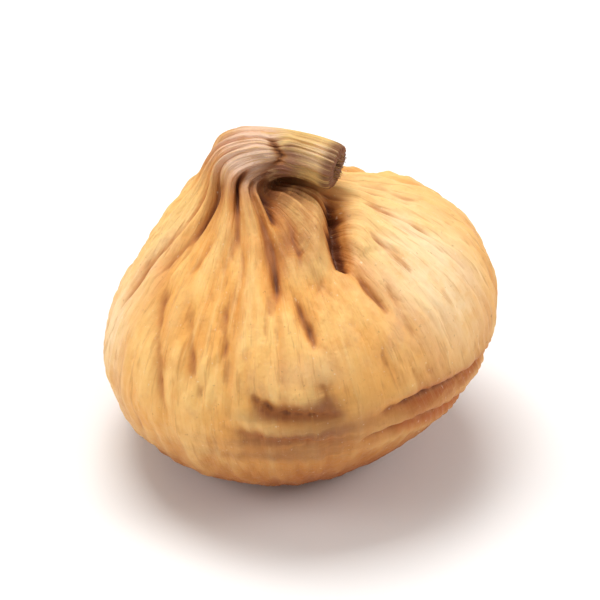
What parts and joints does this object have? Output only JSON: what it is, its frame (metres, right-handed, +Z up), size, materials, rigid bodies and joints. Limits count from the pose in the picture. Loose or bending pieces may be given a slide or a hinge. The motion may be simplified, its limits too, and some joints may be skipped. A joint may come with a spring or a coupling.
{
  "type": "dried fig",
  "caption": "Whole dried fig: squat round body with gathered pleats, wrinkled skin, drawn-in eye underneath and a short bent stalk.",
  "frame": {"origin": "middle of the fig's footprint, on the surface that it rests on", "axes": "+Z up, from the eye to the stalk; -Y towards the fig's usual front; the stalk bends over towards +X"},
  "size_m": [0.0302, 0.03, 0.0276],
  "materials": {
    "dried_skin": "matte, leathery, sun-dried"
  },
  "bodies": {
    "root": {"dried_fig": "dried_skin"}
  },
  "joints": []
}
